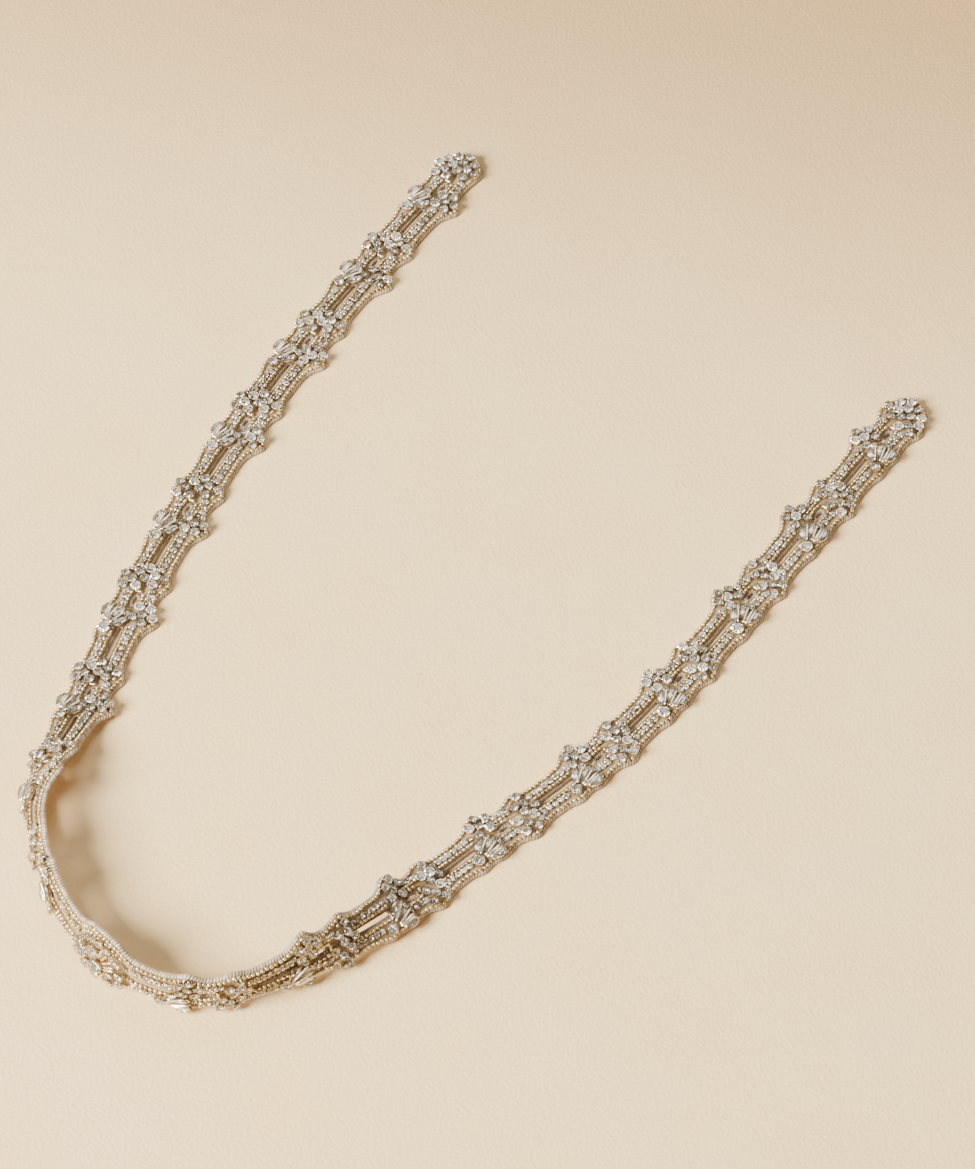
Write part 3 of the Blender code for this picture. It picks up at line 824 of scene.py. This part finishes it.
# The rhinestone chain: small round chatons, foiled behind, each clamped in a square-set silver cup.
# The cups are linked 2.8 mm apart. Runs of it follow both rails, with short ones between flowers.
CHAIN = {"radius": 0.00122, "girdle": 0.00318, "pitch": 0.0028}
# How unlike the links are: shift, turn and lean in radians
CHAIN_SPREAD = {"shift": 0.00010, "turn": 0.10, "lean": 0.07}
# A claw is narrower at its tip by this share
CLAW_TAPER = 0.35
METAL_CRISP = math.radians(35.0)
POLISH_MM = 1.5
FOIL_MM = 0.8
PLATING_MM = 2.0

# Columns: u, v of single links beside the flowers
SHORT_LINKS = (
    (-0.0054, 0.0055),
    (-0.0027, 0.0060),
    (0.0001, 0.0062),
    (-0.0139, -0.0060),
    (-0.0028, -0.0046),
    (0.0000, -0.0045),
    (0.0028, -0.0044),
    (0.0054, -0.0040),
)
# Columns: v, first u, number of links
LONG_RUNS = ((0.0046, 0.0136, 8), (-0.0046, 0.0224, 5))
# Columns: s, v of the links beside the middle motif
MIDDLE_LINKS = ((-0.0140, 0.0046), (-0.0112, 0.0046), (-0.0140, -0.0046), (-0.0112, -0.0046))


def chaton(facets):
    """A round stone of unit girdle radius, z up: a flat table, a faceted crown, and a foiled pavilion.

    With 8 facets the crown is one ring of sloping sides. With 16 it is cut as a brilliant: stars,
    kites and upper-girdle triangles between the table and the girdle.
    """
    table = turned([(0.56, 0.33)], 8)
    girdle = turned([(1.0, 0.0)], facets)
    culet = np.array([[0.0, 0.0, -0.86]])
    k = np.arange(8)
    after = (k + 1) % 8
    around = np.arange(facets)
    if facets == 8:
        points = np.concatenate([table, girdle, culet])
        crown = [np.stack([8 + k, 8 + after, after, k], axis=1)]
        girdle_from = 8
    else:
        breaks = turned([(0.80, 0.21)], 8, math.pi / 8.0)
        points = np.concatenate([table, breaks, girdle, culet])
        before = (k - 1) % 8
        stars = np.stack([k, 8 + k, after], axis=1)
        kites = np.stack([k, 8 + before, 16 + 2 * k, 8 + k], axis=1)
        upper = np.concatenate([
            np.stack([8 + k, 16 + 2 * k, 16 + 2 * k + 1], axis=1),
            np.stack([8 + k, 16 + 2 * k + 1, 16 + (2 * k + 2) % 16], axis=1),
        ])
        crown = [stars, kites, upper]
        girdle_from = 16
    culet_at = np.full(facets, len(points) - 1)
    pavilion = np.stack([girdle_from + (around + 1) % facets, girdle_from + around, culet_at], axis=1)
    return points, [k[None], *crown, pavilion], [0] + [0] * len(crown) + [1]


def claws(spine, half, thick):
    """Four claws: each is a three-sided finger along a spine of (r, z) points, closed at both ends."""
    points, tris, quads = [], [], []
    for turn in math.pi / 4.0 + np.arange(4) * math.pi / 2.0:
        outward = np.array([math.cos(turn), math.sin(turn), 0.0])
        side = np.array([-math.sin(turn), math.cos(turn), 0.0])
        start = 3 * len(spine) * len(points)
        rings = []
        for i, (r, z) in enumerate(spine):
            centre = outward * r + np.array([0.0, 0.0, z])
            w = half * (1.0 - CLAW_TAPER * i / (len(spine) - 1))
            lift = outward * thick if i < len(spine) - 1 else np.array([0.0, 0.0, thick])
            rings += [centre - side * w, centre + side * w, centre + lift]
        points.append(np.array(rings))
        for i in range(len(spine) - 1):
            a, b = start + 3 * i, start + 3 * i + 3
            quads += [(a + p, a + q, b + q, b + p) for p, q in ((0, 2), (2, 1), (1, 0))]
        end = start + 3 * len(spine)
        tris += [(start, start + 1, start + 2), (end - 3, end - 1, end - 2)]
    return np.concatenate(points), np.array(quads), np.array(tris)


def setting_shape(profile, sides, spine, claw_half, claw_thick):
    """A cup and its four claws as one shape. The cup is turned from a closed profile of (r, z)."""
    cup = turned(profile, sides, math.pi / sides)
    claw_points, claw_quads, claw_tris = claws(spine, claw_half, claw_thick)
    start = len(cup)
    quads = np.concatenate([ring_quads(sides, len(profile), closed=True), claw_quads + start])
    return np.concatenate([cup, claw_points]), [quads, claw_tris + start]


def sew_stones(name, shape, centres, frames, size, back):
    """Copies of a cut stone, of crystal in front and of another material behind."""
    stone_points, stone_faces, stone_slots = shape
    points, faces = copies(stone_points, stone_faces, centres, frames, size)
    stones = make_mesh(name, points, faces, [crystal, back], slots=stone_slots, smooth=False)
    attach(stones, "root")
    return stones


def sew_settings(name, shape, centres, frames, size):
    """Copies of the plated metal that holds such a stone."""
    points, faces = copies(*shape, centres, frames, size)
    settings = make_mesh(name, points, faces, [plated])
    settings.data.set_sharp_from_angle(angle=METAL_CRISP)
    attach(settings, "root")


crystal, tree, shader = start_material("clear_crystal")
# Lead crystal with a high refractive index: clean flat facets with the faintest polishing marks
polish = noise(tree, object_place(tree), POLISH_MM, 2.0)
set_sockets(tree, shader, [
    ("Base Color", linear("#fefcf8")), ("Roughness", map_range(tree, polish, 0.0, 1.0, high=0.05)),
    ("Transmission Weight", 1.0), ("IOR", 1.58),
])

foil, tree, shader = start_material("silver_foil")
# The foil painted behind a rhinestone: a thin silver mirror, slightly uneven
uneven = noise(tree, object_place(tree), FOIL_MM, 2.0)
set_sockets(tree, shader, [
    ("Base Color", ramp(tree, uneven, [(0.3, "#f4ede2"), (0.7, "#fffaf1")])),
    ("Metallic", 0.82), ("Roughness", 0.05),
])

plated, tree, shader = start_material("silver_plated_brass")
# Stamped brass cups with a thin silver plating, a little warm in patches where the plating is thin
worn = noise(tree, object_place(tree), PLATING_MM, 4.0)
set_sockets(tree, shader, [
    ("Base Color", ramp(tree, worn, [(0.3, "#cbb691"), (0.62, "#e0d7c8")])),
    ("Metallic", 1.0), ("Roughness", 0.22),
])

CHAIN_STONE = chaton(8)
CHAIN_CUP = setting_shape(
    ((0.70, -0.95), (0.98, -0.55), (1.04, -0.08), (0.96, -0.08), (0.82, -0.30)), 8,
    ((1.00, -0.20), (1.02, 0.06), (0.84, 0.15)), 0.15, 0.09,
)

link_s = [s for s, _ in MIDDLE_LINKS]
link_v = [v for _, v in MIDDLE_LINKS]
for arm in (-1.0, 1.0):
    for index in range(REPEATS):
        opening = (REPEATS - index) * PITCH
        links = list(SHORT_LINKS)
        if index == 0:
            links = [row for row in links if row[0] > -0.010]
        for v, first, count in LONG_RUNS:
            last = count + (0 if index < REPEATS - 1 else -1)
            links += [(first + CHAIN["pitch"] * i, v) for i in range(last)]
        link_s += [arm * (opening - u) for u, _ in links]
        link_v += [v for _, v in links]
link_s, link_v = np.array(link_s), np.array(link_v)
jitter = rng.normal(0.0, CHAIN_SPREAD["shift"], (2, len(link_s)))
centres = laid(link_s + jitter[0], link_v + jitter[1], CHAIN["girdle"])
turns = rng.normal(0.0, CHAIN_SPREAD["turn"], len(link_s))
frames = frames_at(link_s, turns, CHAIN_SPREAD["lean"])
sew_stones("chain_stones", CHAIN_STONE, centres, frames, CHAIN["radius"], foil)
sew_settings("chain_cups", CHAIN_CUP, centres, frames, CHAIN["radius"])


# The crystal clusters and rosettes: 4 mm round stones in four-claw settings, sewn on close together.
# A cluster lies across the whole strip, and a rosette of five about one sits on the inner rail.
STONE = {"radius": 0.00192, "girdle": 0.00395}
# The glass is this much of a setting's own radius, so a rim of silver shows round it
GLASS_SHARE = 0.91
# The claws reach this many of its radii out from a stone's middle
CLAW_REACH = 1.10
# How unlike the stones are: shift, least and most lift
STONE_SPREAD = {"shift": 0.00008, "lift": (-0.00012, 0.00018)}
FLOWER_LEAN = 0.13

# Columns: u, v
CLUSTER = (
    (-0.0123, 0.0074),
    (-0.0129, 0.0032),
    (-0.0083, 0.0039),
    (-0.0155, 0.0001),
    (-0.0102, 0.0002),
    (-0.0125, -0.0032),
    (-0.0081, -0.0049),
    (-0.0053, -0.0019),
    (-0.0102, -0.0083),
    (-0.0047, -0.0073),
)
TIP_STONES = ((-0.0166, 0.0046), (-0.0194, 0.0007), (-0.0172, -0.0036), (-0.0143, -0.0070))
ROSETTE_CENTRE = (0.0072, 0.0064)
ROSETTE_RING = {"radius": 0.0042, "angles": (99.0, 167.0, 235.0, 322.0, 30.0)}
ROSETTE_TURN = 9.0
ROSETTE_DRAWN_IN = 0.0016

SET_STONE = chaton(16)
# Every flower stone sewn on so far: its centre, and how near to it a bead may lie
flower_stones = []
CLAW_SETTING = setting_shape(
    ((0.70, -0.97), (0.98, -0.45), (1.05, -0.05), (0.96, -0.05), (0.80, -0.30)), 12,
    ((1.00, -0.20), (1.04, 0.10), (0.82, 0.24)), 0.17, 0.10,
)


def set_stones(name, s, v, radius, girdle, turn, lean, nodes):
    """Round stones in claw settings at places on the strip: one piece of stones and one of settings."""
    s, v = np.asarray(s), np.asarray(v)
    drift = rng.normal(0.0, STONE_SPREAD["shift"], (2, len(s)))
    lift = rng.uniform(*STONE_SPREAD["lift"], len(s))
    centres = laid(s + drift[0], v + drift[1], girdle + lift)
    frames = frames_at(s, turn, lean)
    clear = np.full(len(s), CLAW_REACH * radius + BEAD["radius"])
    flower_stones.append(np.column_stack([centres, clear]))
    stones = sew_stones(f"{name}_stones", SET_STONE, centres, frames, GLASS_SHARE * radius, foil)
    sew_settings(f"{name}_settings", CLAW_SETTING, centres, frames, radius)
    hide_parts(*nodes)


def rosette(index):
    """Places of one rosette's stones: the centre, and five about it, turned a little in each flower."""
    u, v = ROSETTE_CENTRE
    if index == REPEATS - 1:
        v -= ROSETTE_DRAWN_IN
    turn = np.radians(np.array(ROSETTE_RING["angles"]) + rng.normal(0.0, ROSETTE_TURN))
    ring = ROSETTE_RING["radius"] * np.column_stack([np.cos(turn), np.sin(turn)])
    return [(u, v), *(ring + (u, v))]


for arm, arm_name in ((-1.0, "left"), (1.0, "right")):
    for kind in ("cluster", "rosette"):
        places = []
        for index in range(REPEATS):
            if kind == "rosette":
                flower = rosette(index)
            elif index == 0:
                flower = CLUSTER + TIP_STONES
            else:
                flower = CLUSTER
            places += [(arm * ((REPEATS - index) * PITCH - u), v) for u, v in flower]
        s, v = np.array(places).T
        nodes = [f"{kind}_{arm_name}_{index + 1}" for index in range(REPEATS)]
        turns = rng.uniform(0.0, math.pi, len(s))
        set_stones(f"{kind}_{arm_name}", s, v, STONE["radius"], STONE["girdle"], turns, FLOWER_LEAN, nodes)


# The fans on the outer rail: a large round stone with long petals spread from it towards the tip, a
# navette, a pear of clear glass, a silver-lined bugle and a second navette that overhangs the edge.

# Columns: part, u and v of the end by the stone, u and v of the far end, half of its width, height
PETALS = (
    ("navette", 0.0172, -0.0034, 0.0109, 0.0015, 0.00145, 0.0044),
    ("pear", 0.0147, -0.0048, 0.0066, -0.0014, 0.00170, 0.0042),
    ("navette", 0.0126, -0.0090, 0.0060, -0.0080, 0.00155, 0.0042),
)
# The same columns without the part
BUGLES = (
    (0.0148, -0.0069, 0.0067, -0.0059, 0.00072, 0.0047),
    (0.0160, -0.0042, 0.0086, 0.0002, 0.00050, 0.0050),
    (0.0150, -0.0060, 0.0068, -0.0036, 0.00050, 0.0050),
    (0.0136, -0.0079, 0.0066, -0.0070, 0.00046, 0.0046),
)
# Columns: name, u, v, radius, girdle height, lean, whether the fan's dome stands for it
FAN_STONES = (
    ("base", 0.0184, -0.0056, 0.00235, 0.0046, 0.10, True),
    ("small", 0.0088, 0.0008, 0.00125, 0.0038, 0.15, False),
)
PETAL_SIDES = 14
# The far end of a petal lies this much higher, and each one rolls a little about its length
PETAL_RISE = 0.0002
PETAL_ROLL = 0.05
STREAK_MM = 1.2


def petal_outline(kind):
    """Outline of unit half length: x = cos t, with y = 1 - x^2 for a navette's two arcs.

    A pear has y = sin t (0.72 - 0.36 cos t), and its pointed end is at +x.
    """
    t = np.arange(PETAL_SIDES) * 2.0 * math.pi / PETAL_SIDES
    x = np.cos(t)
    y = np.sign(np.sin(t)) * (1.0 - x ** 2) if kind == "navette" else np.sin(t) * (0.72 - 0.36 * x)
    return x, y


def petal_stone(kind):
    """A long cut stone: its outline at the girdle, a bevel ring, a small table, and a keel behind."""
    x, y = petal_outline(kind)
    flat = np.zeros(PETAL_SIDES)
    points = np.concatenate([
        np.column_stack([x, y, flat]),
        np.column_stack([0.78 * x, 0.74 * y, flat + 0.42]),
        np.column_stack([0.50 * x, 0.42 * y, flat + 0.62]),
        np.column_stack([0.35 * x, 0.0 * y, flat - 0.80]),
    ])
    n = PETAL_SIDES
    j = np.arange(n)
    k = (j + 1) % n
    behind = np.stack([j, 3 * n + j, 3 * n + k, k], axis=1)
    return points, [ring_quads(n, 3, closed=False), (2 * n + j)[None], behind], [0, 0, 1]


def petal_setting(kind):
    """A stamped rim that follows the stone: outside, over the edge, and back under it."""
    x, y = petal_outline(kind)
    rings = ((0.80, -0.98), (1.03, -0.30), (1.06, 0.10), (0.95, 0.20), (0.88, -0.15))
    points = np.concatenate([
        np.column_stack([(0.06 + 0.94 * r) * x, r * y, np.full(PETAL_SIDES, z)]) for r, z in rings
    ])
    return points, [ring_quads(PETAL_SIDES, len(rings), closed=True)]


def between(rows, arm):
    """Centres, frames and sizes of long parts given by their two ends, for every repeat of an arm."""
    centres, frames, sizes = [], [], []
    for index in range(REPEATS):
        opening = (REPEATS - index) * PITCH
        for u_near, v_near, u_far, v_far, half, height in rows:
            near = laid(arm * (opening - u_near), v_near, height)
            far = laid(arm * (opening - u_far), v_far, height + PETAL_RISE)
            out = on_route(OUTWARD, arm * (opening - (u_near + u_far) / 2.0))
            x = unit(near - far)
            y = unit(np.cross(out + rng.normal(0.0, PETAL_ROLL, 3), x))
            centres.append((near + far) / 2.0)
            frames.append(np.stack([x, y, np.cross(x, y)]))
            sizes.append((np.linalg.norm(near - far) / 2.0, half, half))
    return np.array(centres), np.array(frames), np.array(sizes)


bugle_glass, tree, shader = start_material("silver_lined_bugle_glass")
# Long glass tubes with a pale silver-gold lining: brighter and whiter than the short gold beads
streak = noise(tree, object_place(tree), STREAK_MM, 3.0)
set_sockets(tree, shader, [
    ("Base Color", ramp(tree, streak, [(0.3, "#ead9b4"), (0.7, "#fbf6ea")])),
    ("Metallic", 0.8), ("Roughness", 0.18), ("Coat Weight", 1.0), ("Coat Roughness", 0.03),
])

for arm, arm_name in ((-1.0, "left"), (1.0, "right")):
    for kind, behind in (("navette", foil), ("pear", bugle_glass)):
        places = between([row[1:] for row in PETALS if row[0] == kind], arm)
        sew_stones(f"fan_{kind}s_{arm_name}", petal_stone(kind), *places, behind)
        sew_settings(f"fan_{kind}s_settings_{arm_name}", petal_setting(kind), *places)
    points, faces = copies(BEAD_POINTS, BEAD_FACES, *between(BUGLES, arm))
    bugles = make_mesh(f"fan_bugles_{arm_name}", points, faces, [bugle_glass])
    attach(bugles, "root")
    openings = (REPEATS - np.arange(REPEATS)) * PITCH
    fan_nodes = [f"fan_{arm_name}_{index + 1}" for index in range(REPEATS)]
    for part, u, v, radius, girdle, lean, stands_for_dome in FAN_STONES:
        turns = rng.uniform(0.0, math.pi, REPEATS)
        set_stones(f"fan_{part}_{arm_name}", arm * (openings - u), np.full(REPEATS, v),
                   radius, girdle, turns, lean, fan_nodes if stands_for_dome else ())


# The middle motif: the widest and highest flower, where the two halves meet. Large crystals stand
# in its centre, gold bugles spread from them like rays, and small stones close the edge.
# Every height in this section is raised by this much
MIDDLE_RAISED = 0.0011
MIDDLE_LEAN = 0.12
# The rays' outer ends lie this much lower than their inner ones
RAY_FALL = 0.0006

# Columns: s, v from the strip's middle, radius, girdle height
MIDDLE_STONES = (
    (-0.0030, 0.0022, 0.00270, 0.0056),
    (0.0022, 0.0054, 0.00270, 0.0056),
    (0.0040, -0.0012, 0.00300, 0.0059),
    (-0.0018, -0.0052, 0.00235, 0.0048),
    (0.0030, -0.0072, 0.00198, 0.0045),
    (-0.0076, -0.0034, 0.00198, 0.0045),
    (-0.0086, 0.0010, 0.00198, 0.0042),
    (0.0092, -0.0036, 0.00198, 0.0045),
    (0.0098, -0.0080, 0.00198, 0.0042),
    (0.0140, -0.0056, 0.00198, 0.0042),
    (0.0142, -0.0012, 0.00198, 0.0042),
    (-0.0056, 0.0056, 0.00150, 0.0040),
    (-0.0028, 0.0078, 0.00150, 0.0040),
    (0.0006, 0.0094, 0.00150, 0.0040),
    (0.0042, 0.0102, 0.00150, 0.0040),
    (0.0078, 0.0092, 0.00150, 0.0040),
    (0.0108, 0.0074, 0.00150, 0.0040),
    (0.0136, 0.0052, 0.00150, 0.0040),
)
# Columns: s and v of the inner end, s and v of the outer end, half thickness, height
MIDDLE_BUGLES = (
    (0.0050, 0.0038, 0.0062, 0.0086, 0.00062, 0.0047),
    (0.0062, 0.0032, 0.0088, 0.0074, 0.00062, 0.0047),
    (0.0068, 0.0020, 0.0110, 0.0054, 0.00062, 0.0047),
    (0.0072, 0.0006, 0.0122, 0.0030, 0.00062, 0.0047),
    (0.0072, -0.0010, 0.0122, 0.0010, 0.00062, 0.0047),
    (-0.0052, -0.0004, -0.0066, 0.0036, 0.00062, 0.0044),
    (-0.0046, -0.0030, -0.0058, -0.0066, 0.00062, 0.0044),
    (0.0006, -0.0066, 0.0002, -0.0094, 0.00062, 0.0042),
    (0.0064, -0.0056, 0.0070, -0.0092, 0.00062, 0.0042),
)

stones = np.array(MIDDLE_STONES)
frames = frames_at(stones[:, 0], rng.uniform(0.0, math.pi, len(stones)), MIDDLE_LEAN)
centres = laid(stones[:, 0], stones[:, 1], stones[:, 3] + MIDDLE_RAISED)
radius = stones[:, 2:3]
middle_stones = sew_stones("middle_stones", SET_STONE, centres, frames, GLASS_SHARE * radius, foil)
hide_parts("middle_motif")
sew_settings("middle_settings", CLAW_SETTING, centres, frames, radius)
flower_stones.append(np.column_stack([centres, CLAW_REACH * radius + BEAD["radius"]]))

bars = np.array(MIDDLE_BUGLES)
near = laid(bars[:, 0], bars[:, 1], bars[:, 5] + MIDDLE_RAISED)
far = laid(bars[:, 2], bars[:, 3], bars[:, 5] + MIDDLE_RAISED - RAY_FALL)
x = unit(far - near)
y = unit(np.cross(on_route(OUTWARD, bars[:, 0]), x))
half = np.linalg.norm(far - near, axis=1) / 2.0
frames = np.stack([x, y, np.cross(x, y)], axis=1)
size = np.stack([half, bars[:, 4], bars[:, 4]], axis=1)
points, faces = copies(BEAD_POINTS, BEAD_FACES, (near + far) / 2.0, frames, size)
tone = np.repeat(rng.random(len(bars)), len(BEAD_POINTS))
middle_bugles = make_mesh("middle_bugles", points, faces, [gold], tone=tone)
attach(middle_bugles, "root")


# Loose gold beads: the same beads, sewn one by one on the net between a flower and the edge row, where
# the outline swells and felt would show. There is none where a stone of a flower already sits.

# Columns: distance in from the outline, least swell of the outline beyond the rail
FILL_ROWS = ((0.00335, 0.0013), (0.00530, 0.0026), (0.00725, 0.0038))
# A swell whose outline has fewer samples than this is too short for a bead
LEAST_SAMPLES = 12

fill_lines = []
_, outline_v = outline_loop(0.0)
for inset, least_swell in FILL_ROWS:
    s, v = outline_loop(inset)
    swollen = np.abs(outline_v) > RAIL_REACH + least_swell
    for run in np.split(np.arange(len(s)), np.flatnonzero(np.diff(swollen)) + 1):
        if swollen[run[0]] and len(run) > LEAST_SAMPLES:
            fill_lines.append((s[run], v[run], bead_height))
loose_beads = sew_beads("loose_gold_beads", fill_lines, gold, clear_of=np.concatenate(flower_stones))
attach(loose_beads, "root")


# The light: one large soft window to the left, a bright ceiling, and two white cards for the stones'
# facets, near the camera and to the right. The room is dim and warm, so that they show dark as well.

# Columns: name, place, width and height, power in watts, colour
LIGHTS = (
    ("window", (-2.28, -1.40, 1.84), 1.45, 480.0, "#fffdf8"),
    ("ceiling", (0.10, 1.45, 2.05), 1.05, 30.0, "#fff9f3"),
    ("front_card", (0.80, -1.60, 2.00), 0.45, 8.0, "#fff4ea"),
    ("side_card", (1.90, -0.20, 1.50), 0.40, 5.0, "#fff4ea"),
)
ROOM_COLOUR = "#fff0e4"
ROOM_STRENGTH = 0.06

for name, place, width, power, tint in LIGHTS:
    light = bpy.data.lights.new(name, "AREA")
    light.size = width
    light.energy = power
    light.color = linear(tint)[:3]
    lamp = bpy.data.objects.new(name, light)
    bpy.context.scene.collection.objects.link(lamp)
    lamp.location = place
    aim = np.array(place) - np.array(VIEW_POINT)
    down = math.acos(aim[2] / np.linalg.norm(aim))
    lamp.rotation_euler = (down, 0.0, math.atan2(aim[1], aim[0]) + math.pi / 2.0)

room = bpy.data.worlds.new("room")
room.use_nodes = True
room.node_tree.nodes["Background"].inputs["Color"].default_value = linear(ROOM_COLOUR)
room.node_tree.nodes["Background"].inputs["Strength"].default_value = ROOM_STRENGTH
bpy.context.scene.world = room
